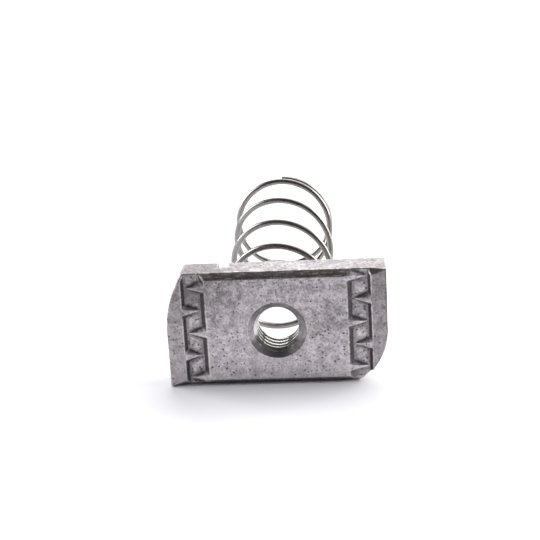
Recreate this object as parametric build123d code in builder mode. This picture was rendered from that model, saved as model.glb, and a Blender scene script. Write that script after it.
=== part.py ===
from build123d import *

import os
from math import atan2, cos, pi, radians, sin, tan

# Strut channel nut with a long spring: a pressed steel plate with toothed lip grooves and a threaded
# hole, and a left-hand coil of round wire whose straight leg is staked into a slot in the plate's back.
# Millimetres. +X runs along the plate, -Y points out of the toothed face, +Z up towards the edge where
# the spring's leg enters. The origin is the centre of the threaded hole on the toothed face.

os.makedirs("parts", exist_ok=True)

# ---- driving dimensions: plate ----
nut_length = 35.5
nut_width = 19.2
nut_thickness = 6.0
nut_shift = -0.1             # middle of the plate from the hole, along X
nut_lift = 0.2               # and along Z
upper_corner_run = 2.9       # what the round corner at -X takes off the upper edge
lower_corner_run = 4.7       # and the one at +X off the lower edge
lower_corner_start = 0.5     # where that one leaves the end of the plate, below the hole
face_bevel = 1.05            # along both long edges of the toothed face
bevel_end = 0.15             # what is left of the bevel where it fades out at the square corners
back_round = 0.35            # rolled edge of the back face

# ---- driving dimensions: thread ----
thread_minor_radius = 3.4    # M8: bore at the crests of the thread
countersink_radius = 4.6
countersink_angle = 100.0
back_chamfer = 0.4

# ---- driving dimensions: lip grooves and their teeth ----
groove_centre = 13.23        # half the spacing of the channel's lips
groove_mouth = 3.75
groove_depth = 0.9
inner_wall_run = 0.85        # how far the sloped wall nearer the hole runs in
outer_wall_run = 0.5
tooth_pitch = 7.67           # between teeth on one wall; the other wall's teeth stand halfway
tooth_shift = 0.6            # of the toothed row from the middle of the plate
tooth_land = 1.1             # width of a tooth's top where it leaves the wall
tooth_flank = 0.85           # how far a tooth's sloped sides run out over the groove's depth
tooth_tip = 0.08             # width of the point
tooth_sink = 0.18            # how far a tooth's foot is let into the floor of its groove
tooth_tip_gap = 0.15         # between a point and the foot of the wall it faces

# ---- driving dimensions: slot and stake for the spring's leg ----
slot_depth = 2.5             # at the mouth, running out to nothing
slot_run = 14.9              # length of the slot down the back
slot_clearance = 0.15        # beside the wire
stake_width = 5.4            # punched dent that closes the slot over the leg
stake_height = 2.3
stake_depth = 0.45
stake_from_edge = 2.7        # middle of the dent below the plate's edge
stake_offset = 0.3           # of the dent from the slot, towards the hole
stake_tilt = 4.0             # degrees
stake_taper = 20.0           # degrees, of the dent's walls
lip_opening = 0.76           # what the stake leaves of the slot's mouth, less than the wire
lip_height = 0.5

# ---- driving dimensions: spring ----
wire_diameter = 1.1
wire_flats = 10              # the round wire is drawn with flats, which keeps so long a coil light
coil_radius = 8.7            # to the middle of the wire
coil_shift = 0.15            # of the first turn from the hole, along X
coil_below_edge = 0.2        # top of the first turn below the plate's edge
spring_rise = 4.5            # degrees that the coil's axis stands above the plate's normal
spring_lean = 1.5            # degrees that the turns lie over towards -X
leg_depth = 1.75             # middle of the wire below the back face at the leg's cut end
leg_end_gap = 0.4            # that end below the plate's edge
leg_exit = 0.25              # middle of the wire above the back face where the leg meets the coil
flush_gap = 0.03             # between the top of the first turn and the back face
open_pitch = 11.0            # advance per turn of the open coils
coil_turns = 5.75
lead_turns = 0.2             # in which the leg's slope dies away
flush_turns = 0.75           # to the top of the first turn
opening_turns = 0.7          # from there to the full pitch
closing_turns = 0.3          # from the full pitch to the closed one
closed_turns = 0.9           # wound against the turn before
closed_gap = 0.06            # left between those two turns
points_per_turn = 16
end_step = 0.001             # turns over which the direction of the wire's end is taken

# ---- derived ----
left_end = nut_shift - nut_length / 2
right_end = nut_shift + nut_length / 2
upper_edge = nut_lift + nut_width / 2
lower_edge = nut_lift - nut_width / 2
wire_radius = wire_diameter / 2
toothed_face = Plane.XZ
back_face = Plane.XZ.offset(-nut_thickness)
groove_inner = groove_centre - groove_mouth / 2
groove_outer = groove_centre + groove_mouth / 2
inner_foot = groove_inner + inner_wall_run
outer_foot = groove_outer - outer_wall_run
slot_x = coil_shift - coil_radius
slot_width = wire_diameter + 2 * slot_clearance
stake_z = upper_edge - stake_from_edge
dent_floor = nut_thickness - stake_depth


# ---- channel nut ----
def wedge_sketch(plane, land, top):
    """Section of a tooth, land wide at that height, with its foot let into the groove's floor."""
    foot = -groove_depth - tooth_sink
    half_foot = land / 2 + (top - foot) * tooth_flank / groove_depth
    with BuildSketch(plane) as wedge:
        with BuildLine():
            Polyline((-land / 2, top), (land / 2, top), (half_foot, foot), (-half_foot, foot), close=True)
        make_face()
    return wedge.sketch


def add_tooth(root_x, tip_x, middle_z):
    """Tooth that leaves a groove's wall at face level and slopes down to a point on the floor."""
    across = Vector(tip_x - root_x, 0, 0).normalized()
    wall_plane = Plane(origin=(root_x, 0, middle_z), x_dir=(0, 0, across.X), z_dir=across)
    tip_plane = Plane(origin=(tip_x, 0, middle_z), x_dir=(0, 0, across.X), z_dir=across)
    at_wall = wedge_sketch(wall_plane, tooth_land, 0)
    at_tip = wedge_sketch(tip_plane, tooth_tip, tooth_tip - groove_depth)
    loft([at_wall, at_tip], ruled=True)


def bevel_section(side, along, size):
    """Triangle that the bevel takes off the toothed face's edge, at one place along the plate."""
    edge = upper_edge if side > 0 else lower_edge
    with BuildSketch(Plane.YZ.offset(along)) as section:
        with BuildLine():
            Polyline((0, edge), (size, edge), (0, edge - side * size), close=True)
        make_face()
    return section.sketch


def cut_bevel(side):
    """Bevel one long edge of the toothed face, fading out past the groove at the square corner."""
    rounded_end, square_end = (left_end, right_end) if side > 0 else (right_end, left_end)
    full_start = bevel_section(side, rounded_end, face_bevel)
    full_end = bevel_section(side, side * groove_outer, face_bevel)
    faded = bevel_section(side, square_end, bevel_end)
    loft([full_start, full_end], mode=Mode.SUBTRACT)
    loft([full_end, faded], mode=Mode.SUBTRACT)


with BuildPart() as channel_nut:
    # blank: the corners at -X +Z and +X -Z are round, so the nut can turn in the channel
    with BuildSketch(toothed_face) as outline:
        with BuildLine():
            upper_round = TangentArc(
                (left_end, 0), (left_end + upper_corner_run, upper_edge), tangent=(0, 1)
            )
            Polyline(upper_round @ 1, (right_end, upper_edge), (right_end, -lower_corner_start))
            lower_round = TangentArc(
                (right_end, -lower_corner_start), (right_end - lower_corner_run, lower_edge), tangent=(0, -1)
            )
            Polyline(lower_round @ 1, (left_end, lower_edge), upper_round @ 0)
        make_face()
    extrude(amount=-nut_thickness)
    fillet(channel_nut.faces().sort_by(Axis.Y)[-1].edges(), back_round)

    # grooves for the channel's lips, open at both long edges
    with BuildSketch(Plane.XY.offset(lower_edge)):
        with BuildLine():
            Polyline(
                (groove_inner, -groove_depth),
                (groove_inner, 0),
                (inner_foot, groove_depth),
                (outer_foot, groove_depth),
                (groove_outer, 0),
                (groove_outer, -groove_depth),
                close=True,
            )
        make_face()
        mirror(about=Plane.YZ)
    extrude(amount=nut_width, mode=Mode.SUBTRACT)

    # teeth point alternately outwards and inwards; the second groove is the first turned half round
    for side in (1, -1):
        for step in (-1, 0, 1):
            middle_z = nut_lift + side * (tooth_shift + step * tooth_pitch)
            add_tooth(side * groove_inner, side * (outer_foot - tooth_tip_gap), middle_z)
        for step in (-0.5, 0.5):
            middle_z = nut_lift + side * (tooth_shift + step * tooth_pitch)
            add_tooth(side * groove_outer, side * (inner_foot + tooth_tip_gap), middle_z)
        cut_bevel(side)
    extrude(outline.sketch, amount=-nut_thickness, mode=Mode.INTERSECT)

    # threaded hole
    with Locations(toothed_face):
        CounterSinkHole(thread_minor_radius, countersink_radius, counter_sink_angle=countersink_angle)
    back_circles = channel_nut.faces().sort_by(Axis.Y)[-1].edges().filter_by(GeomType.CIRCLE)
    chamfer(back_circles.filter_by(lambda edge: edge.radius < countersink_radius), back_chamfer)

    # slot for the spring's leg, deepest at the plate's edge
    with BuildSketch(Plane.YZ.offset(slot_x)):
        with BuildLine():
            Polyline(
                (nut_thickness, upper_edge - slot_run),
                (nut_thickness - slot_depth, upper_edge),
                (nut_thickness, upper_edge),
                close=True,
            )
        make_face()
    extrude(amount=slot_width / 2, both=True, mode=Mode.SUBTRACT)

    # dent punched across the slot, and the two lips that it squeezes over the leg
    with BuildSketch(back_face):
        with Locations((slot_x + stake_offset, stake_z)):
            Rectangle(stake_width, stake_height, rotation=stake_tilt)
    extrude(amount=stake_depth, taper=stake_taper, mode=Mode.SUBTRACT)
    with BuildSketch(Plane.XY.offset(stake_z - stake_height / 2)):
        for side in (1, -1):
            wall_x = slot_x + side * slot_width / 2
            with BuildLine():
                Polyline(
                    (wall_x, dent_floor),
                    (slot_x + side * lip_opening / 2, dent_floor),
                    (wall_x, dent_floor - lip_height),
                    close=True,
                )
            make_face()
    extrude(amount=stake_height)
channel_nut.part.label = "channel_nut"
export_step(channel_nut.part, "parts/channel_nut.step")

# ---- spring ----
coil_z = upper_edge - coil_below_edge - wire_radius - coil_radius
leg_top = Vector(slot_x, nut_thickness - leg_depth, upper_edge - leg_end_gap)
rise = radians(spring_rise)
coil_axis = Vector(-tan(radians(spring_lean)), cos(rise), sin(rise))
coil_up = Vector(0, -sin(rise), cos(rise))
start_advance = leg_exit / cos(rise)
leg_slope = atan2(leg_depth + leg_exit, leg_top.Z - coil_z - start_advance * sin(rise))
lead_pitch = 2 * pi * coil_radius * tan(leg_slope - rise)
flush_advance = (wire_radius + flush_gap + coil_radius * sin(rise)) / cos(rise)
lead_advance = lead_pitch * lead_turns / 2
rest_pitch = (flush_advance - start_advance - lead_advance) / (flush_turns - lead_turns / 2)
closed_pitch = wire_diameter + closed_gap
winding = (
    (0, lead_pitch),
    (lead_turns, rest_pitch),
    (flush_turns, rest_pitch),
    (flush_turns + opening_turns, open_pitch),
    (coil_turns - closed_turns - closing_turns, open_pitch),
    (coil_turns - closed_turns, closed_pitch),
    (coil_turns, closed_pitch),
)


def advance(turn):
    """How far the wire has wound along the coil's axis: the pitch added up over the turns so far."""
    total = start_advance
    for (from_turn, from_pitch), (to_turn, to_pitch) in zip(winding, winding[1:]):
        part = min(max(turn - from_turn, 0), to_turn - from_turn)
        total += from_pitch * part + (to_pitch - from_pitch) * part**2 / (to_turn - from_turn) / 2
    return total


def coil_point(turn):
    """Middle of the wire: left-handed, from the slot down, under the hole and up the other side."""
    angle = 2 * pi * turn
    hub = Vector(coil_shift, nut_thickness, coil_z) + coil_axis * advance(turn)
    return hub - Vector(cos(angle), 0, 0) * coil_radius - coil_up * (coil_radius * sin(angle))


with BuildPart() as spring:
    steps = round(coil_turns * points_per_turn)
    with BuildLine():
        leg = Line(leg_top, coil_point(0))
        end_run = coil_point(coil_turns) - coil_point(coil_turns - end_step)
        Spline(
            [coil_point(coil_turns * step / steps) for step in range(steps + 1)],
            tangents=[leg % 1, end_run.normalized()],
            tangent_scalars=[1, 1],
        )
    with BuildSketch(Plane(origin=leg @ 0, z_dir=leg % 0)):
        RegularPolygon(wire_radius, wire_flats)
    sweep()
spring.part.label = "spring"
export_step(spring.part, "parts/spring.step")
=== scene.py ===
from math import atan2, cos, hypot, pi, radians, sin, tan

import bmesh
import bpy
import numpy as np
from bpy.props import FloatProperty, FloatVectorProperty, IntProperty, PointerProperty
from mathutils import Matrix, Vector


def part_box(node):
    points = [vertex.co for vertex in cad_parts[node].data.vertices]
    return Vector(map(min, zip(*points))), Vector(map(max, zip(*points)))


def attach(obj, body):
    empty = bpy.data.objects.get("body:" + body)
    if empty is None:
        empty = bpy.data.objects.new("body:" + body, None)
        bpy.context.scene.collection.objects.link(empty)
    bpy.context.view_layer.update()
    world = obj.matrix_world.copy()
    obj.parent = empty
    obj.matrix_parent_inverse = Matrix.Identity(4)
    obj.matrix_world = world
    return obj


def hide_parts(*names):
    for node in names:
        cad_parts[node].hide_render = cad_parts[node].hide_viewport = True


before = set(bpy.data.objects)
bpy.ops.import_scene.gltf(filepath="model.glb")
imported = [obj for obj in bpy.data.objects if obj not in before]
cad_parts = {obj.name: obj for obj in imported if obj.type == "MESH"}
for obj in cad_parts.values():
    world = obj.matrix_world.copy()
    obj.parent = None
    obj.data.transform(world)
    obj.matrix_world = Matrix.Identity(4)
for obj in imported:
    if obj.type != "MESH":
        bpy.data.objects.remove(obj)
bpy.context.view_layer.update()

bl_info = {
    "name": "Strut spring nut",
    "version": (1, 0, 0),
    "blender": (4, 5, 0),
    "location": "3D View > Sidebar > Spring Nut",
    "description": "Tapped, toothed channel nut and its long coil spring, on a pale studio sweep",
    "category": "Add Mesh",
}

MM = 0.001
NUT_LOW, NUT_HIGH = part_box("channel_nut")
BACK_FACE = NUT_HIGH.y
UPPER_EDGE = NUT_HIGH.z
FLOOR = NUT_LOW.z
RIGHT_END = NUT_HIGH.x
SAME_POINT = 0.001 * MM
WHITE = (1, 1, 1, 1)

# the surfaces, rubbed edges and hollows that the nut's points record and its steel reads; the steel paints
# shade from the hollows, walls, groove floors, cone, bevels and foot
NUT_MASKS = ("edge", "hollow", "cone", "thread", "wall", "floor", "bevel", "under", "land", "top", "foot")

# each softbox's place, its width and height, and the setting that holds its power
SOFTBOXES = {
    "back_softbox": ((0.25, 0.80, 0.52), (1.50, 0.90), "back_light"),
    "top_softbox": ((0.25, 0.36, 0.85), (1.40, 0.60), "top_light"),
    "left_softbox": ((-0.95, 0.20, 0.42), (0.95, 0.80), "side_light"),
    "right_softbox": ((0.95, 0.20, 0.42), (0.95, 0.80), "side_light"),
}


# ---- sizes and colours ----
class NutSettings(bpy.types.PropertyGroup):
    """Sizes and steel of the channel nut"""

    thread_major: FloatProperty(
        name="Thread radius", description="To the roots of the thread", default=4.0 * MM, subtype="DISTANCE"
    )
    thread_minor: FloatProperty(
        name="Crest radius", description="To the crests of the thread", default=3.41 * MM, subtype="DISTANCE"
    )
    thread_pitch: FloatProperty(
        name="Pitch", description="From crest to crest", default=1.25 * MM, subtype="DISTANCE"
    )
    thread_start: FloatProperty(
        name="Thread start", description="Where a root of the thread lies at +X, behind the toothed face",
        default=0.69 * MM, subtype="DISTANCE",
    )
    skin_grain: FloatProperty(
        name="Grain", description="Size of the skin's mesh faces", default=0.152 * MM, subtype="DISTANCE"
    )
    dent_depth: FloatProperty(
        name="Dents", description="Depth of the shallow dents", default=0.05 * MM, subtype="DISTANCE"
    )
    dent_size: FloatProperty(
        name="Dent size", description="Across a shallow dent", default=2.2 * MM, subtype="DISTANCE"
    )
    chip_depth: FloatProperty(
        name="Chips", description="Depth of the fine unevenness", default=0.035 * MM, subtype="DISTANCE"
    )
    chip_size: FloatProperty(
        name="Chip size", description="Across a small chip", default=0.45 * MM, subtype="DISTANCE"
    )
    groove_centre: FloatProperty(
        name="Groove centre", description="From the hole to the middle of a lip groove",
        default=13.23 * MM, subtype="DISTANCE",
    )
    groove_width: FloatProperty(
        name="Groove", description="Width of a lip groove at its mouth", default=3.75 * MM, subtype="DISTANCE"
    )
    groove_depth: FloatProperty(
        name="Groove depth", description="Depth of a lip groove", default=0.9 * MM, subtype="DISTANCE"
    )
    countersink: FloatProperty(
        name="Countersink", description="Radius of the machined cone at the toothed face",
        default=4.72 * MM, subtype="DISTANCE",
    )
    countersink_angle: FloatProperty(
        name="Countersink angle", description="Between opposite sides of the cone",
        default=radians(100), subtype="ANGLE",
    )
    steel: FloatVectorProperty(
        name="Steel", description="Colour of the open faces", default=(0.52, 0.484, 0.500), subtype="COLOR"
    )
    # Also the colour of the painted highlight along the upper bevel.
    bright: FloatVectorProperty(
        name="Bright steel", description="Colour of rubbed edges", default=(0.66, 0.64, 0.62), subtype="COLOR"
    )
    # Also the colour of the painted shade in the hollows, grooves, countersink, bevels and foot, besides the
    # pits and chips.
    tarnish_and_shade: FloatVectorProperty(
        name="Tarnish", description="Colour in pits and hollows", default=(0.105, 0.09, 0.095),
        subtype="COLOR",
    )
    stain: FloatVectorProperty(
        name="Stain", description="Colour of the brown specks", default=(0.14, 0.09, 0.065), subtype="COLOR"
    )


class SpringSettings(bpy.types.PropertyGroup):
    """Winding and wire of the spring"""

    wire_diameter: FloatProperty(
        name="Wire", description="Diameter of the wire", default=1.08 * MM, subtype="DISTANCE"
    )
    coil_diameter: FloatProperty(
        name="Coil", description="Diameter of the coil, to the middle of the wire",
        default=17.4 * MM, subtype="DISTANCE",
    )
    shift: FloatProperty(
        name="Shift", description="Of the first turn from the hole, along X",
        default=0.15 * MM, subtype="DISTANCE",
    )
    below_edge: FloatProperty(
        name="Below edge", description="Middle of the wire's first turn below the nut's edge",
        default=0.75 * MM, subtype="DISTANCE",
    )
    rise: FloatProperty(
        name="Rise", description="Of the coil's axis above the nut's normal",
        default=radians(4.5), subtype="ANGLE",
    )
    lean: FloatProperty(
        name="Lean", description="Of the turns towards -X", default=radians(1.5), subtype="ANGLE"
    )
    leg_depth: FloatProperty(
        name="Leg depth", description="Of the leg's cut end in its slot",
        default=1.75 * MM, subtype="DISTANCE",
    )
    leg_end_gap: FloatProperty(
        name="Leg end", description="Below the nut's edge", default=0.4 * MM, subtype="DISTANCE"
    )
    leg_exit: FloatProperty(
        name="Leg exit", description="Above the back face where the coil starts",
        default=0.25 * MM, subtype="DISTANCE",
    )
    flush_height: FloatProperty(
        name="Flush height", description="Middle of the wire above the back face at the first turn's top",
        default=0.58 * MM, subtype="DISTANCE",
    )
    open_pitch: FloatProperty(
        name="Open pitch", description="Of the open turns", default=11.0 * MM, subtype="DISTANCE"
    )
    closed_pitch: FloatProperty(
        name="Closed pitch", description="Of the last turns", default=1.16 * MM, subtype="DISTANCE"
    )
    turns: FloatProperty(name="Turns", description="From the slot to the free end", default=5.75)
    points_per_turn: IntProperty(name="Points", description="Along the wire, for each turn", default=96)
    wire: FloatVectorProperty(
        name="Wire colour", description="Colour of the drawn wire", default=(0.29, 0.272, 0.262),
        subtype="COLOR",
    )
    grime: FloatVectorProperty(
        name="Grime", description="Colour of the drawing marks", default=(0.12, 0.10, 0.09), subtype="COLOR"
    )


class StageSettings(bpy.types.PropertyGroup):
    """Sweep, camera and lights"""

    paper: FloatVectorProperty(
        name="Paper", description="Colour of the sweep", default=(0.90, 0.90, 0.94), subtype="COLOR"
    )
    sweep_size: FloatProperty(
        name="Sweep", description="Side of the square sweep", default=6.0, subtype="DISTANCE"
    )
    focal_length: FloatProperty(
        name="Lens", description="Focal length in millimetres", default=87.43, unit="CAMERA"
    )
    sensor_width: FloatProperty(
        name="Sensor", description="Width of the sensor in millimetres", default=36.0, unit="CAMERA"
    )
    camera_place: FloatVectorProperty(
        name="Camera", description="Where the camera stands",
        default=(14.34 * MM, -194.83 * MM, 76.30 * MM), subtype="TRANSLATION",
    )
    camera_turn: FloatProperty(
        name="Turn", description="Of the camera to the left", default=radians(4.386), subtype="ANGLE"
    )
    camera_tilt: FloatProperty(
        name="Tilt", description="Of the camera below the level", default=radians(18.688), subtype="ANGLE"
    )
    camera_roll: FloatProperty(
        name="Roll", description="Of the camera about its line of sight", default=radians(-3.348),
        subtype="ANGLE",
    )
    room_light: FloatProperty(name="Room", description="Strength of the room's dim light", default=0.11)
    top_light: FloatProperty(name="Top softbox", description="Power", default=3.2, unit="POWER")
    back_light: FloatProperty(name="Back softbox", description="Power", default=10.0, unit="POWER")
    side_light: FloatProperty(name="Side softboxes", description="Power of each", default=13.6, unit="POWER")


# ---- helpers ----
def only(piece):
    """Deselect everything and make this object the selected, active one."""
    bpy.ops.object.select_all(action="DESELECT")
    piece.hide_set(False)
    piece.select_set(True)
    bpy.context.view_layer.objects.active = piece


def add_modifier(piece, kind, **values):
    """Give a piece a modifier with these values and apply it."""
    only(piece)
    modifier = piece.modifiers.new(kind.title(), kind)
    for name, value in values.items():
        setattr(modifier, name, value)
    bpy.ops.object.modifier_apply(modifier=modifier.name)


def merge_points(piece, distance=SAME_POINT):
    """Make one point of those that lie within a distance of each other."""
    only(piece)
    bpy.ops.object.mode_set(mode="EDIT")
    bpy.ops.mesh.select_all(action="SELECT")
    bpy.ops.mesh.remove_doubles(threshold=distance)
    bpy.ops.object.mode_set(mode="OBJECT")


def face_outwards(piece):
    """Turn all faces of a closed piece outwards."""
    only(piece)
    bpy.ops.object.mode_set(mode="EDIT")
    bpy.ops.mesh.select_all(action="SELECT")
    bpy.ops.mesh.normals_make_consistent(inside=False)
    if bmesh.from_edit_mesh(piece.data).calc_volume(signed=True) < 0:
        bpy.ops.mesh.flip_normals()
    bpy.ops.object.mode_set(mode="OBJECT")


def settle(piece, node, material):
    """Say what a finished piece stands for, and dress it."""
    piece.data.materials.clear()
    piece.data.materials.append(material)
    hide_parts(node)
    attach(piece, "root")


# ---- material helpers ----
def new_material(name):
    """New material, with its node tree and its shader."""
    material = bpy.data.materials.new(name)
    material.use_nodes = True
    tree = material.node_tree
    return material, tree, tree.nodes["Principled BSDF"]


def add_node(tree, kind, inputs=None, **values):
    """New node with these settings; inputs maps a socket to a value or to another node's output."""
    node = tree.nodes.new(kind)
    for name, value in values.items():
        setattr(node, name, value)
    for socket, value in (inputs or {}).items():
        if isinstance(value, bpy.types.NodeSocket):
            tree.links.new(value, node.inputs[socket])
        else:
            node.inputs[socket].default_value = value
    return node


def math_node(tree, operation, *values, clamp=False):
    """Values joined by one maths operation, from the first to the last."""
    result = values[0]
    for value in values[1:]:
        inputs = {0: result, 1: value}
        result = add_node(tree, "ShaderNodeMath", inputs, operation=operation, use_clamp=clamp).outputs[0]
    return result


def times(tree, *values):
    """Product of some values."""
    return math_node(tree, "MULTIPLY", *values)


def strongest(tree, *masks):
    """The largest of some masks at each point."""
    return math_node(tree, "MAXIMUM", *masks)


def vector_node(tree, operation, inputs):
    """Output of a vector maths node."""
    return add_node(tree, "ShaderNodeVectorMath", inputs, operation=operation).outputs[0]


def mapped(tree, value, between, to=(0.0, 1.0)):
    """A value stretched smoothly from the first range to the second, and kept inside it."""
    (low, high), (start, end) = between, to
    inputs = {"Value": value, "From Min": low, "From Max": high, "To Min": start, "To Max": end}
    return add_node(tree, "ShaderNodeMapRange", inputs, interpolation_type="SMOOTHSTEP").outputs["Result"]


def mixed(tree, factor, first, second):
    """Mix of two colours, each given as a colour output or as its three channels."""
    factor_socket, first_socket, second_socket, colour_result = 0, 6, 7, 2
    colours = [
        colour if isinstance(colour, bpy.types.NodeSocket) else (*colour, 1) for colour in (first, second)
    ]
    inputs = {factor_socket: factor, first_socket: colours[0], second_socket: colours[1]}
    return add_node(tree, "ShaderNodeMix", inputs, data_type="RGBA").outputs[colour_result]


def shaded(colour, by):
    """A colour made darker or lighter by a factor."""
    return [min(channel * by, 1.0) for channel in colour]


def new_group(name, inputs, outputs):
    """Node group that reads a Vector and numbers with these defaults, and puts out these numbers."""
    group = bpy.data.node_groups.new(name, "ShaderNodeTree")
    group.interface.new_socket("Vector", in_out="INPUT", socket_type="NodeSocketVector")
    for label, default in inputs.items():
        socket = group.interface.new_socket(label, in_out="INPUT", socket_type="NodeSocketFloat")
        socket.default_value = default
    for label in outputs:
        group.interface.new_socket(label, in_out="OUTPUT", socket_type="NodeSocketFloat")
    return group, group.nodes.new("NodeGroupInput").outputs, group.nodes.new("NodeGroupOutput").inputs


def place_group(tree, group, inputs):
    """Outputs of a node group that is placed in a tree."""
    return add_node(tree, "ShaderNodeGroup", inputs, node_tree=group).outputs


# ---- shared effects ----
def mottle_group():
    """Fine and broad unevenness of a steel surface."""
    group, given, result = new_group("mottle", {"Fine": 3000.0, "Broad": 350.0}, ("Fine", "Broad"))
    detail_and_roughness = {"Fine": (3.0, 0.6), "Broad": (4.0, 0.55)}
    for name, (detail, rough) in detail_and_roughness.items():
        inputs = {"Vector": given["Vector"], "Scale": given[name], "Detail": detail, "Roughness": rough}
        noise = add_node(group, "ShaderNodeTexNoise", inputs)
        group.links.new(noise.outputs["Fac"], result[name])
    return group


def pit_group():
    """Scattered small round pits: 1 in the middle of a pit and 0 outside."""
    group, given, result = new_group("pits", {"Scale": 1000.0, "Size": 0.3, "Share": 0.5}, ("Pits",))
    wobble_scale, wobble_reach = 2500.0, 0.4 * MM
    smallest, full_depth = 0.35, 0.6
    wobble = add_node(group, "ShaderNodeTexNoise", {"Vector": given["Vector"], "Scale": wobble_scale})
    centred = vector_node(group, "SUBTRACT", {0: wobble.outputs["Color"], 1: (0.5, 0.5, 0.5)})
    shift = vector_node(group, "SCALE", {0: centred, "Scale": wobble_reach})
    place = vector_node(group, "ADD", {0: given["Vector"], 1: shift})
    cells = add_node(group, "ShaderNodeTexVoronoi", {"Vector": place, "Scale": given["Scale"]})
    chance = add_node(group, "ShaderNodeSeparateColor", {"Color": cells.outputs["Color"]})
    kept = math_node(group, "LESS_THAN", chance.outputs["Red"], given["Share"])
    spread = mapped(group, chance.outputs["Green"], between=(0.0, 1.0), to=(smallest, 1.0))
    radius = times(group, given["Size"], spread)
    away = math_node(group, "DIVIDE", cells.outputs["Distance"], radius)
    depth = math_node(group, "SUBTRACT", 1.0, away, clamp=True)
    soft = mapped(group, depth, between=(0.0, full_depth))
    group.links.new(times(group, soft, kept), result["Pits"])
    return group


def scratch_group():
    """Fine straight scratches in one direction."""
    group, given, result = new_group("scratches", {"Turn": 0.5, "Share": 0.2}, ("Scratches",))
    cells_per_metre = (380, 2000, 6500)
    line_edge, line_middle = 0.42, 0.18
    turning = {"Vector": given["Vector"], "Axis": (0, 1, 0), "Angle": given["Turn"]}
    turned = add_node(group, "ShaderNodeVectorRotate", turning)
    drawn = add_node(group, "ShaderNodeMapping", {"Vector": turned.outputs[0], "Scale": cells_per_metre})
    cells = add_node(group, "ShaderNodeTexVoronoi", {"Vector": drawn.outputs[0], "Scale": 1.0})
    chance = add_node(group, "ShaderNodeSeparateColor", {"Color": cells.outputs["Color"]})
    kept = math_node(group, "LESS_THAN", chance.outputs["Blue"], given["Share"])
    line = mapped(group, cells.outputs["Distance"], between=(line_edge, line_middle))
    group.links.new(times(group, line, kept), result["Scratches"])
    return group


def shared_effects():
    """Node groups that more than one mark or material uses, made once."""
    makers = {"mottle": mottle_group, "pits": pit_group, "scratches": scratch_group}
    return {name: bpy.data.node_groups.get(name) or make() for name, make in makers.items()}


# ---- nut's steel ----
def nut_readings(tree, effects):
    """What the steel's look depends on at a point: its place, its surface and the patterns there."""
    place = add_node(tree, "ShaderNodeTexCoord").outputs["Object"]
    apart = add_node(tree, "ShaderNodeSeparateXYZ", {"Vector": place}).outputs
    here = {"place": place, "along": apart["X"], "inward": apart["Y"], "upward": apart["Z"]}
    for name in NUT_MASKS:
        here[name] = add_node(tree, "ShaderNodeAttribute", attribute_name=name).outputs["Fac"]
    machined = strongest(tree, here["cone"], here["thread"])
    here["plain"] = math_node(tree, "SUBTRACT", 1.0, machined, clamp=True)
    here["deep"] = mapped(tree, here["hollow"], between=(0.10, 0.75))
    here["outer_end"] = mapped(tree, here["along"], between=(12.5 * MM, 14.5 * MM))
    mottle = place_group(tree, effects["mottle"], {"Vector": place, "Fine": 2400.0, "Broad": 650.0})
    here["fine"], here["broad"] = mottle["Fine"], mottle["Broad"]
    stretched = add_node(tree, "ShaderNodeMapping", {"Vector": place, "Scale": (800, 3200, 3200)})
    streaks = {"Vector": stretched.outputs[0], "Scale": 1.0, "Detail": 4.0}
    here["streaks"] = add_node(tree, "ShaderNodeTexNoise", streaks).outputs["Fac"]
    return here


def nut_spots(tree, effects, here):
    """Pits and fainter specks on the plain faces, thick in some patches and thin in others."""
    size, scales_and_strengths = 0.50, ((2000.0, 1.0), (3600.0, 0.70))
    share = mapped(tree, here["broad"], between=(0.42, 0.62), to=(0.32, 0.95))
    spots = []
    for scale, strength in scales_and_strengths:
        inputs = {"Vector": here["place"], "Scale": scale, "Size": size, "Share": share}
        spots.append(times(tree, place_group(tree, effects["pits"], inputs)["Pits"], strength))
    return times(tree, strongest(tree, *spots), here["plain"])


def nut_scratches(tree, effects, here):
    """Fine scratches in two directions."""
    turns_and_shares = ((0.6, 0.14), (-0.9, 0.10))
    ways = []
    for turn, share in turns_and_shares:
        inputs = {"Vector": here["place"], "Turn": turn, "Share": share}
        ways.append(place_group(tree, effects["scratches"], inputs)["Scratches"])
    return strongest(tree, *ways)


def nut_tone(tree, here):
    """How light the steel is: mottled at random, lighter towards the floor as a painted reflection, and
    darker in two patches, the right-hand one painted shade.
    """
    fine_part, broad_part, patch_middle = 0.32, 0.42, 1 * MM
    # two darker patches: one at the upper left, and painted shade right of the middle
    dim_patches = (((-11 * MM, 0, 6 * MM), 8 * MM, 0.26), ((8 * MM, 0, 1 * MM), 6 * MM, 0.20))
    fine = mapped(tree, here["fine"], between=(0.36, 0.64))
    broad = mapped(tree, here["broad"], between=(0.35, 0.65))
    # painted reflection: the steel is lighter towards the floor
    upward = mapped(tree, here["upward"], between=(FLOOR, UPPER_EDGE), to=(0.32, -0.02))
    tone = math_node(tree, "ADD", times(tree, fine, fine_part), times(tree, broad, broad_part), upward)
    for place, reach, depth in dim_patches:
        gap = add_node(tree, "ShaderNodeVectorMath", {0: here["place"], 1: place}, operation="DISTANCE")
        dim_patch = mapped(tree, gap.outputs["Value"], between=(patch_middle, reach), to=(depth, 0.0))
        tone = math_node(tree, "SUBTRACT", tone, dim_patch)
    return tone


def bevel_darkness(tree, here):
    """Painted shade on the upper bevel: a ragged dark band under its bright edge, and all of it at the outer
    end.
    """
    average_streak, raggedness, end_darkness = 0.5, 1.6 * MM, 0.8
    shift = times(tree, math_node(tree, "SUBTRACT", here["streaks"], average_streak), raggedness)
    ragged = math_node(tree, "ADD", here["upward"], shift)
    band = mapped(tree, ragged, between=(UPPER_EDGE - 0.9 * MM, UPPER_EDGE - 0.2 * MM), to=(0.85, 0.10))
    return strongest(tree, band, times(tree, here["outer_end"], end_darkness))


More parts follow.
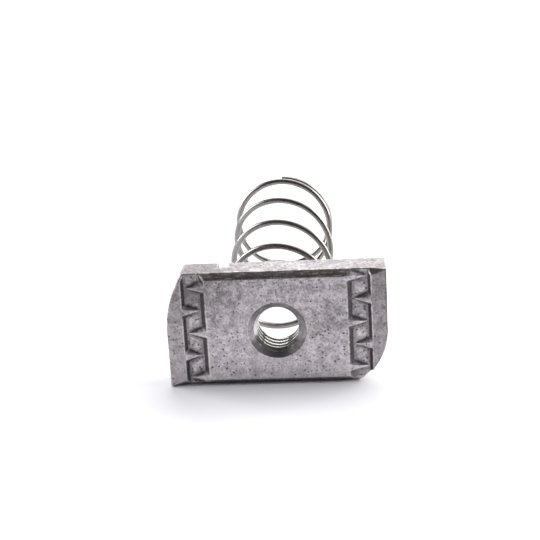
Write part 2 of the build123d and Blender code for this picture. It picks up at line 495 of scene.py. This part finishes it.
def top_darkness(tree, here):
    """How much darker the top face is: most at its left-hand end, and least in the middle."""
    left = mapped(tree, here["along"], between=(-16 * MM, -3 * MM), to=(0.70, 0.20))
    right = mapped(tree, here["along"], between=(2 * MM, 14 * MM), to=(0.20, 0.32))
    return strongest(tree, left, right)


def nut_shade_and_darkening(tree, here, tone):
    """How dark the steel is: painted shade in its hollows, on the groove walls and floors, on the bevels and
    along the foot, a painted reflection at the bottom of the countersink, and darker outer lands and top-face
    ends.
    """
    darkness = {
        # painted shade in the hollows and on the groove walls and floors
        "deep": 0.55,
        "wall": 0.80,
        "floor": mapped(tree, tone, between=(0.2, 0.8), to=(0.28, 0.0)),
        # painted reflection: a dark crescent at the bottom of the countersink
        "cone": mapped(tree, here["upward"], between=(-2.2 * MM, -1.0 * MM), to=(0.76, 0.16)),
        "land": mapped(tree, here["outer_end"], between=(0.0, 1.0), to=(0.33, 0.46)),
        "top": top_darkness(tree, here),
        # painted shade on the upper bevel and under the lower bevel
        "bevel": bevel_darkness(tree, here),
        "under": 0.42,
        # painted contact shadow along the foot
        "foot": 0.90,
    }
    masks = [times(tree, here[name], dark) for name, dark in darkness.items()]
    return strongest(tree, *masks)


def bevel_highlights(tree, here):
    """Painted highlight: bright ragged streaks along the upper bevel, short of its outer end."""
    streaks = mapped(tree, here["streaks"], between=(0.47, 0.33), to=(0.0, 0.6))
    inner = math_node(tree, "SUBTRACT", 1.0, here["outer_end"])
    return times(tree, here["bevel"], streaks, inner)


def nut_stains(tree, here):
    """Faint brown patches on the faces, and brown streaks along the upper bevel."""
    patches = mapped(tree, here["broad"], between=(0.60, 0.72), to=(0.0, 0.25))
    streaks = mapped(tree, here["streaks"], between=(0.42, 0.60), to=(0.0, 0.55))
    brown = strongest(tree, patches, times(tree, here["bevel"], streaks))
    return times(tree, brown, here["plain"])


def nut_rubs(tree, here, tone):
    """Bright steel where the edges stand out and are rubbed, and in the thread."""
    stands_out = mapped(tree, here["edge"], between=(0.20, 0.8))
    worn = mapped(tree, tone, between=(0.2, 0.7), to=(0.35, 0.9))
    return strongest(tree, times(tree, stands_out, worn), here["thread"])


def end_chips(tree, here):
    """Dark chips along the front rim of the right-hand end."""
    at_end = mapped(tree, here["along"], between=(RIGHT_END - 0.45 * MM, RIGHT_END - 0.1 * MM))
    at_front = mapped(tree, here["inward"], between=(0.2 * MM, 0.7 * MM), to=(0.9, 0.0))
    return times(tree, at_end, mapped(tree, here["streaks"], between=(0.42, 0.52)), at_front)


def nut_relief(tree, here, spots, scratches):
    """Height of the steel's fine relief, which is flat in the hole and faint on the top face."""
    fine_height, broad_height, spot_depth, scratch_depth, top_share = 0.9, 2.0, 1.2, 0.35, 0.4
    relief = math_node(
        tree, "ADD", times(tree, here["fine"], fine_height), times(tree, here["broad"], broad_height)
    )
    relief = math_node(
        tree, "SUBTRACT", relief, times(tree, spots, spot_depth), times(tree, scratches, scratch_depth)
    )
    fading = mapped(tree, here["top"], between=(0.0, 1.0), to=(1.0, top_share))
    return times(tree, relief, here["plain"], fading)


def nut_steel(settings, effects):
    """Tumbled stainless steel: dull grey, mottled, pitted and scratched, with painted shade in its hollows,
    grooves, countersink, bevels and foot, and a painted highlight along the upper bevel.
    """
    material, tree, shader = new_material("nut_steel")
    darkest, lightest = shaded(settings.steel, by=0.42), shaded(settings.steel, by=1.34)
    scratch_strength, spot_strength = 0.50, 0.85
    spot_roughness, cone_roughness, thread_gloss = 0.2, 0.12, 0.18
    here = nut_readings(tree, effects)
    tone = nut_tone(tree, here)
    spots = nut_spots(tree, effects, here)
    scratches = nut_scratches(tree, effects, here)

    colour = mixed(tree, tone, darkest, lightest)
    layers = (
        (times(tree, scratches, here["plain"], scratch_strength), settings.bright),
        (times(tree, spots, spot_strength), settings.tarnish_and_shade),
        # painted shade in the hollows, grooves, countersink, bevels and foot
        (nut_shade_and_darkening(tree, here, tone), settings.tarnish_and_shade),
        # painted highlight along the upper bevel
        (bevel_highlights(tree, here), settings.bright),
        (nut_stains(tree, here), settings.stain),
        (nut_rubs(tree, here, tone), settings.bright),
        (end_chips(tree, here), settings.tarnish_and_shade),
    )
    for mask, over in layers:
        colour = mixed(tree, mask, colour, over)
    tree.links.new(colour, shader.inputs["Base Color"])

    rough = math_node(
        tree, "ADD", mapped(tree, tone, between=(0.0, 1.0), to=(0.46, 0.34)),
        times(tree, spots, spot_roughness), times(tree, here["cone"], cone_roughness),
    )
    gloss = times(tree, here["thread"], thread_gloss)
    tree.links.new(math_node(tree, "SUBTRACT", rough, gloss, clamp=True), shader.inputs["Roughness"])
    shader.inputs["Metallic"].default_value = 1.0

    relief = nut_relief(tree, here, spots, scratches)
    bump = add_node(tree, "ShaderNodeBump", {"Strength": 0.55, "Distance": 0.035 * MM, "Height": relief})
    tree.links.new(bump.outputs["Normal"], shader.inputs["Normal"])
    return material


# ---- other materials ----
def spring_wire(settings, effects):
    """Bright drawn stainless wire with fine marks along it and dark sheared ends."""
    material, tree, shader = new_material("spring_wire")
    darkest, lightest = shaded(settings.wire, by=0.82), shaded(settings.wire, by=1.12)
    streak_part, broad_part, speck_dirt, cut_dirt = 0.6, 0.4, 0.6, 0.9
    place = add_node(tree, "ShaderNodeTexCoord").outputs["Object"]
    along = add_node(tree, "ShaderNodeUVMap", uv_map="along_wire").outputs["UV"]
    drawn = add_node(tree, "ShaderNodeMapping", {"Vector": along, "Scale": (60.0, 9.0, 1.0)}).outputs[0]
    noise = add_node(tree, "ShaderNodeTexNoise", {"Vector": drawn, "Scale": 1.0, "Detail": 4.0})
    marks = noise.outputs["Fac"]
    mottle = place_group(tree, effects["mottle"], {"Vector": place, "Fine": 5000.0, "Broad": 500.0})
    speckle = {"Vector": place, "Scale": 1800.0, "Size": 0.30, "Share": 0.15}
    specks = place_group(tree, effects["pits"], speckle)["Pits"]
    sheared = add_node(tree, "ShaderNodeAttribute", attribute_name="cut_end").outputs["Fac"]

    streaks = mapped(tree, marks, between=(0.35, 0.65))
    tone = math_node(tree, "ADD", times(tree, streaks, streak_part), times(tree, mottle["Broad"], broad_part))
    patches = mapped(tree, mottle["Broad"], between=(0.52, 0.75), to=(0.0, 0.45))
    dirt = strongest(tree, patches, times(tree, specks, speck_dirt), times(tree, sheared, cut_dirt))
    colour = mixed(tree, dirt, mixed(tree, tone, darkest, lightest), settings.grime)
    tree.links.new(colour, shader.inputs["Base Color"])
    shader.inputs["Metallic"].default_value = 1.0
    rough = mapped(tree, tone, between=(0.2, 0.9), to=(0.30, 0.18))
    tree.links.new(rough, shader.inputs["Roughness"])
    bump = add_node(tree, "ShaderNodeBump", {"Strength": 0.25, "Distance": 0.01 * MM, "Height": marks})
    tree.links.new(bump.outputs["Normal"], shader.inputs["Normal"])
    return material


def sweep_paper(settings):
    """Matt pale paper."""
    material, _, shader = new_material("sweep_paper")
    shader.inputs["Base Color"].default_value = (*settings.paper, 1)
    shader.inputs["Roughness"].default_value = 0.9
    shader.inputs["Specular IOR Level"].default_value = 0.1
    return material


# ---- nut ----
def merged_copy(node, name):
    """Copy of a CAD node, with its loose triangles joined into one skin."""
    cad_same_point = 0.0005 * MM
    only(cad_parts[node])
    bpy.ops.object.duplicate()
    piece = bpy.context.active_object
    piece.name = name
    piece.parent = None
    piece.animation_data_clear()
    for key in list(piece.keys()):
        del piece[key]
    merge_points(piece, cad_same_point)
    return piece


def tap_profile(settings):
    """One pitch of the thread's outline, as distances from the hole's axis and along it."""
    crest_share, root_share = 0.3, 1 / 8
    crest, root, pitch = settings.thread_minor, settings.thread_major, settings.thread_pitch
    crest_end = pitch * crest_share
    root_start = crest_end + pitch * (1 - crest_share - root_share) / 2
    return [(crest, 0), (crest, crest_end), (root, root_start), (root, root_start + pitch * root_share),
            (crest, pitch)]


def thread_tap(settings):
    """Closed screw whose flanks cut the thread; its ends come to points outside the plate."""
    turns, turns_in_front, steps_per_turn = 7, 2, 72
    start = settings.thread_start - turns_in_front * settings.thread_pitch
    mesh = bpy.data.meshes.new("tap")
    tap = bpy.data.objects.new("tap", mesh)
    bpy.context.scene.collection.objects.link(tap)
    shape = bmesh.new()
    corners = [shape.verts.new((radius, start + along, 0)) for radius, along in tap_profile(settings)]
    for one, other in zip(corners, corners[1:]):
        shape.edges.new((one, other))
    shape.to_mesh(mesh)
    shape.free()
    add_modifier(
        tap, "SCREW", axis="Y", angle=2 * pi, screw_offset=settings.thread_pitch, iterations=turns,
        steps=steps_per_turn, render_steps=steps_per_turn, use_merge_vertices=True,
        merge_threshold=SAME_POINT, use_normal_calculate=True,
    )
    merge_points(tap)
    for side in (-1, 1):
        close_end(tap, side)
    face_outwards(tap)
    return tap


def close_end(tap, side):
    """Draw the open end of the tap together to a point on its axis."""
    middle, reach = BACK_FACE / 2, 9 * MM
    tip = (0, middle + side * reach, 0)
    only(tap)
    bpy.ops.object.mode_set(mode="EDIT")
    bpy.ops.mesh.select_mode(type="EDGE")
    shape = bmesh.from_edit_mesh(tap.data)
    for edge in shape.edges:
        ahead = (edge.verts[0].co.y + edge.verts[1].co.y) / 2 - middle
        edge.select = edge.is_boundary and ahead * side > 0
    shape.select_flush(True)
    bmesh.update_edit_mesh(tap.data)
    bpy.ops.mesh.extrude_edges_move()
    shape = bmesh.from_edit_mesh(tap.data)
    for vert in shape.verts:
        if vert.select:
            vert.co = tip
    bmesh.update_edit_mesh(tap.data)
    bpy.ops.mesh.remove_doubles(threshold=SAME_POINT)
    bpy.ops.object.mode_set(mode="OBJECT")


def cone_cutter(settings):
    """Cone that leaves the countersink clean, standing proud of the toothed face."""
    proud, sides = 1 * MM, 144
    slope = tan(settings.countersink_angle / 2)
    base = settings.countersink + proud * slope
    height = base / slope
    bpy.ops.object.select_all(action="DESELECT")
    bpy.ops.mesh.primitive_cone_add(
        vertices=sides, radius1=base, radius2=0, depth=height, rotation=(-pi / 2, 0, 0),
        location=(0, height / 2 - proud, 0),
    )
    cutter = bpy.context.active_object
    bpy.ops.object.transform_apply()
    return cutter


def heal_cuts(piece):
    """Merge the points that the cuts left doubled, and drop those that only split an edge."""
    merge_points(piece)
    bpy.ops.object.mode_set(mode="EDIT")
    bpy.ops.mesh.select_mode(type="VERT")
    bpy.ops.mesh.select_all(action="DESELECT")
    shape = bmesh.from_edit_mesh(piece.data)
    for vert in shape.verts:
        vert.select = len(vert.link_edges) == 2
    shape.select_flush_mode()
    bmesh.update_edit_mesh(piece.data)
    bpy.ops.mesh.dissolve_verts()
    bpy.ops.object.mode_set(mode="OBJECT")


def roughen(piece, settings):
    """Shallow dents and fine chips, pressed inwards so that the piece keeps its box, clear of the hole."""
    rim_width = 0.1 * MM
    machined = settings.countersink + rim_width
    outside = [vert.index for vert in piece.data.vertices if hypot(vert.co.x, vert.co.z) > machined]
    group = "rough"
    piece.vertex_groups.new(name=group).add(outside, 1, "REPLACE")
    for name, size, depth in (("dents", settings.dent_size, settings.dent_depth),
                              ("chips", settings.chip_size, settings.chip_depth)):
        texture = bpy.data.textures.new(name, "CLOUDS")
        texture.noise_scale = size
        texture.noise_depth = 1
        add_modifier(
            piece, "DISPLACE", texture=texture, texture_coords="GLOBAL", strength=depth, mid_level=1.0,
            vertex_group=group,
        )


# ---- nut's masks: rubbed edges, hollows and surfaces ----
def ramp(values, low, high):
    """0 below the low value, 1 above the high one and straight between them."""
    return np.clip((values - low) / (high - low), 0, 1)


def read_points(mesh):
    """Places and normals of a mesh's points, a row for each point."""
    tables = []
    for name in ("co", "normal"):
        values = np.empty(len(mesh.vertices) * 3)
        mesh.vertices.foreach_get(name, values)
        tables.append(values.reshape(-1, 3))
    return tables


def smoothed(values, starts, ends, shares, rounds):
    """Values averaged over each point's neighbours, a number of times."""
    for _ in range(rounds):
        total = values.copy()
        np.add.at(total, starts, values[ends])
        np.add.at(total, ends, values[starts])
        values = total * shares
    return values


def edge_and_hollow_masks(mesh, places, normals):
    """Where the points stand out of their near surroundings, and where they lie deep in wider ones."""
    near_rounds, far_rounds = 3, 12
    worn_height, hollow_depth = 0.022 * MM, 0.07 * MM
    edges = np.empty(len(mesh.edges) * 2, dtype=int)
    mesh.edges.foreach_get("vertices", edges)
    starts, ends = edges.reshape(-1, 2).T
    shares = 1 / (1 + np.bincount(edges, minlength=len(places)))[:, None]
    near = smoothed(places, starts, ends, shares, near_rounds)
    far = smoothed(near, starts, ends, shares, far_rounds)
    stands_out = ((places - near) * normals).sum(axis=1)
    lies_deep = ((far - places) * normals).sum(axis=1)
    return {"edge": ramp(stands_out, 0, worn_height), "hollow": ramp(lies_deep, 0, hollow_depth)}


def hole_masks(places, settings):
    """Which points are in the hole, on its countersink and in its thread."""
    rim_slack, cone_slack = 0.02 * MM, 0.05 * MM
    across, depth, height = places.T
    radius = np.hypot(across, height)
    hole = radius < settings.countersink + rim_slack
    cone_depth = (settings.countersink - radius) / tan(settings.countersink_angle / 2)
    cone = hole & (depth < cone_depth + cone_slack) & (depth < BACK_FACE / 2)
    return {"hole": hole, "cone": cone, "thread": hole & ~cone & (depth < BACK_FACE)}


def face_masks(places, normals, settings):
    """Which of the plate's outer surfaces and lip grooves each point is on."""
    groove_slack, top_band, foot_band, foot_fade = 0.2 * MM, 0.4 * MM, 0.5 * MM, 0.25 * MM
    faces_front, faces_up = 0.7, 0.85
    across, depth, height = places.T
    aside, outward, upward = np.abs(normals[:, 0]), -normals[:, 1], normals[:, 2]
    half_groove = settings.groove_width / 2
    beside = np.abs(np.abs(across) - settings.groove_centre)
    groove = (beside < half_groove) & (depth < settings.groove_depth + groove_slack)
    front = depth < BACK_FACE / 2
    return {
        "wall": groove * ramp(aside, low=0.25, high=0.55),
        "floor": groove * ramp(depth / settings.groove_depth, low=0.55, high=0.85),
        "bevel": front * ~groove * ramp(np.minimum(upward, outward), low=0.4, high=0.6),
        "under": front * ~groove * ramp(np.minimum(-upward, outward), low=0.4, high=0.6),
        "land": front & (outward > faces_front) & (np.abs(across) > settings.groove_centre + half_groove),
        "top": (upward > faces_up) & (height > UPPER_EDGE - top_band),
        "foot": ramp(FLOOR + foot_band - height, 0, foot_fade),
    }


def record_masks(piece, settings):
    """Store in the mesh how much each point stands out or lies deep, and which of the nut's surfaces it is
    on; the steel paints shade from several of these masks.
    """
    places, normals = read_points(piece.data)
    masks = edge_and_hollow_masks(piece.data, places, normals)
    masks.update(hole_masks(places, settings))
    masks.update(face_masks(places, normals, settings))
    masks["edge"] = masks["edge"] * ~masks["hole"]
    for name in NUT_MASKS:
        layer = piece.data.attributes.new(name, "FLOAT", "POINT")
        layer.data.foreach_set("value", masks[name].astype(float))


class SPRINGNUT_OT_channel_nut(bpy.types.Operator):
    """Make the pressed, toothed and tapped plate"""

    bl_idname = "spring_nut.channel_nut"
    bl_label = "Channel Nut"

    def execute(self, context):
        settings = context.scene.channel_nut
        nut = merged_copy("channel_nut", "nut_body")
        add_modifier(nut, "REMESH", mode="VOXEL", voxel_size=settings.skin_grain, use_smooth_shade=True)
        add_modifier(nut, "SMOOTH", factor=0.5, iterations=2)
        for cutter in (thread_tap(settings), cone_cutter(settings)):
            add_modifier(nut, "BOOLEAN", operation="DIFFERENCE", solver="EXACT", object=cutter)
            bpy.data.objects.remove(cutter)
        heal_cuts(nut)
        roughen(nut, settings)
        record_masks(nut, settings)
        only(nut)
        bpy.ops.object.shade_smooth_by_angle(angle=radians(35))
        settle(nut, "channel_nut", nut_steel(settings, shared_effects()))
        return {"FINISHED"}


# ---- spring ----
def coil_winding(settings, lead_pitch, to_flush):
    """The pitch at each turn where it changes: out of the slot, flush, open, and closed at the end."""
    lead_turns, flush_turn, opened_turn, end_turns, closed_turns = 0.2, 0.75, 1.45, 1.2, 0.9
    rest_pitch = (to_flush - lead_pitch * lead_turns / 2) / (flush_turn - lead_turns / 2)
    return [
        (0, lead_pitch), (lead_turns, rest_pitch), (flush_turn, rest_pitch),
        (opened_turn, settings.open_pitch), (settings.turns - end_turns, settings.open_pitch),
        (settings.turns - closed_turns, settings.closed_pitch), (settings.turns, settings.closed_pitch),
    ]


def advance(winding, turn):
    """How far along its axis the coil has come at a turn, from the pitches up to there."""
    total = 0
    for (from_turn, from_pitch), (to_turn, to_pitch) in zip(winding, winding[1:]):
        part = min(max(turn - from_turn, 0), to_turn - from_turn)
        total += from_pitch * part + (to_pitch - from_pitch) * part**2 / (to_turn - from_turn) / 2
    return total


def coil_path(settings):
    """Points along the middle of the wire: the straight leg's cut end, then the left-hand coil."""
    radius = settings.coil_diameter / 2
    coil_z = UPPER_EDGE - settings.below_edge - radius
    leg_x = settings.shift - radius
    leg_top = Vector((leg_x, BACK_FACE - settings.leg_depth, UPPER_EDGE - settings.leg_end_gap))
    along = Vector((-tan(settings.lean), cos(settings.rise), sin(settings.rise)))
    upward = Vector((0, -sin(settings.rise), cos(settings.rise)))
    start = settings.leg_exit / along.y
    leg_slope = atan2(settings.leg_depth + settings.leg_exit, leg_top.z - coil_z - start * along.z)
    lead_pitch = 2 * pi * radius * tan(leg_slope - settings.rise)
    flush = (settings.flush_height + radius * along.z) / along.y
    winding = coil_winding(settings, lead_pitch, flush - start)
    steps = round(settings.turns * settings.points_per_turn)
    points = [leg_top]
    for step in range(steps + 1):
        turn = settings.turns * step / steps
        angle = 2 * pi * turn
        hub = Vector((settings.shift, BACK_FACE, coil_z)) + along * (start + advance(winding, turn))
        points.append(hub - Vector((radius * cos(angle), 0, 0)) - upward * radius * sin(angle))
    return points


def wound_wire(name, points, diameter):
    """Round wire along these points, as a closed mesh."""
    curve = bpy.data.curves.new("coil", "CURVE")
    curve.dimensions = "3D"
    spline = curve.splines.new("POLY")
    spline.points.add(len(points) - 1)
    for point, place in zip(spline.points, points):
        point.co = (*place, 1)
    curve.bevel_depth = diameter / 2
    curve.bevel_resolution = 6
    curve.use_fill_caps = True
    wire = bpy.data.objects.new(name, curve)
    bpy.context.scene.collection.objects.link(wire)
    only(wire)
    bpy.ops.object.convert(target="MESH")
    wire = bpy.context.active_object
    merge_points(wire)
    face_outwards(wire)
    return wire


def mark_cut_ends(wire):
    """Store which faces are the wire's cut ends: those along the wire have four corners."""
    side_corners = 4
    layer = wire.data.attributes.new("cut_end", "FLOAT", "FACE")
    layer.data.foreach_set("value", [float(face.loop_total > side_corners) for face in wire.data.polygons])


class SPRINGNUT_OT_spring(bpy.types.Operator):
    """Wind the spring from one length of wire"""

    bl_idname = "spring_nut.spring"
    bl_label = "Spring"

    def execute(self, context):
        settings = context.scene.coil_spring
        coil = wound_wire("coil_wire", coil_path(settings), settings.wire_diameter)
        coil.data.uv_layers[0].name = "along_wire"
        mark_cut_ends(coil)
        bpy.ops.object.shade_smooth_by_angle(angle=radians(40))
        settle(coil, "spring", spring_wire(settings, shared_effects()))
        return {"FINISHED"}


# ---- stage ----
def lay_sweep(settings):
    """Lay the pale sweep under the nut's standing edge."""
    bpy.ops.object.select_all(action="DESELECT")
    bpy.ops.mesh.primitive_plane_add(size=settings.sweep_size, location=(0, 0, FLOOR))
    sweep = bpy.context.active_object
    sweep.name = "sweep"
    bpy.ops.object.transform_apply()
    sweep.data.materials.append(sweep_paper(settings))


def place_camera(settings):
    """Stand the camera in front of the toothed face, looking down at it."""
    camera = bpy.data.cameras.new("camera")
    camera.lens = settings.focal_length
    camera.sensor_width = settings.sensor_width
    view = bpy.data.objects.new("camera", camera)
    bpy.context.scene.collection.objects.link(view)
    turn = (
        Matrix.Rotation(settings.camera_turn, 4, "Z")
        @ Matrix.Rotation(pi / 2 - settings.camera_tilt, 4, "X")
        @ Matrix.Rotation(settings.camera_roll, 4, "Z")
    )
    view.matrix_world = Matrix.Translation(settings.camera_place) @ turn
    bpy.context.scene.camera = view


def light_room(strength):
    """Fill the room with a dim white light."""
    world = bpy.data.worlds.new("studio")
    world.use_nodes = True
    background = world.node_tree.nodes["Background"]
    background.inputs["Color"].default_value = WHITE
    background.inputs["Strength"].default_value = strength
    bpy.context.scene.world = world


def add_softbox(name, place, size, power):
    """Hang a rectangular light that faces the threaded hole."""
    light = bpy.data.lights.new(name, "AREA")
    light.shape = "RECTANGLE"
    light.size, light.size_y = size
    light.energy = power
    lamp = bpy.data.objects.new(name, light)
    lamp.location = place
    lamp.rotation_euler = (-Vector(place)).to_track_quat("-Z", "Y").to_euler()
    bpy.context.scene.collection.objects.link(lamp)


class SPRINGNUT_OT_stage(bpy.types.Operator):
    """Set up the sweep, the camera and the lights"""

    bl_idname = "spring_nut.stage"
    bl_label = "Stage"

    def execute(self, context):
        settings = context.scene.spring_nut_stage
        lay_sweep(settings)
        place_camera(settings)
        light_room(settings.room_light)
        for name, (place, size, power) in SOFTBOXES.items():
            add_softbox(name, place, size, getattr(settings, power))
        context.scene.view_settings.view_transform = "Standard"
        return {"FINISHED"}


class SPRINGNUT_PT_parts(bpy.types.Panel):
    """Pieces of the spring nut"""

    bl_label = "Spring Nut"
    bl_space_type = "VIEW_3D"
    bl_region_type = "UI"
    bl_category = "Spring Nut"

    def draw(self, context):
        for operator in OPERATORS:
            self.layout.operator(operator.bl_idname)


# ---- add-on ----
SETTINGS = {"channel_nut": NutSettings, "coil_spring": SpringSettings, "spring_nut_stage": StageSettings}
OPERATORS = (SPRINGNUT_OT_channel_nut, SPRINGNUT_OT_spring, SPRINGNUT_OT_stage)


def register():
    """Add the settings, the operators and the panel to Blender."""
    for name, group in SETTINGS.items():
        bpy.utils.register_class(group)
        setattr(bpy.types.Scene, name, PointerProperty(type=group))
    for operator in OPERATORS:
        bpy.utils.register_class(operator)
    bpy.utils.register_class(SPRINGNUT_PT_parts)


def unregister():
    """Take them out again, in the other order."""
    bpy.utils.unregister_class(SPRINGNUT_PT_parts)
    for operator in reversed(OPERATORS):
        bpy.utils.unregister_class(operator)
    for name, group in SETTINGS.items():
        delattr(bpy.types.Scene, name)
        bpy.utils.unregister_class(group)


def main():
    """Make the pieces and the stage."""
    register()
    bpy.ops.spring_nut.channel_nut()
    bpy.ops.spring_nut.spring()
    bpy.ops.spring_nut.stage()


if __name__ == "__main__":
    main()
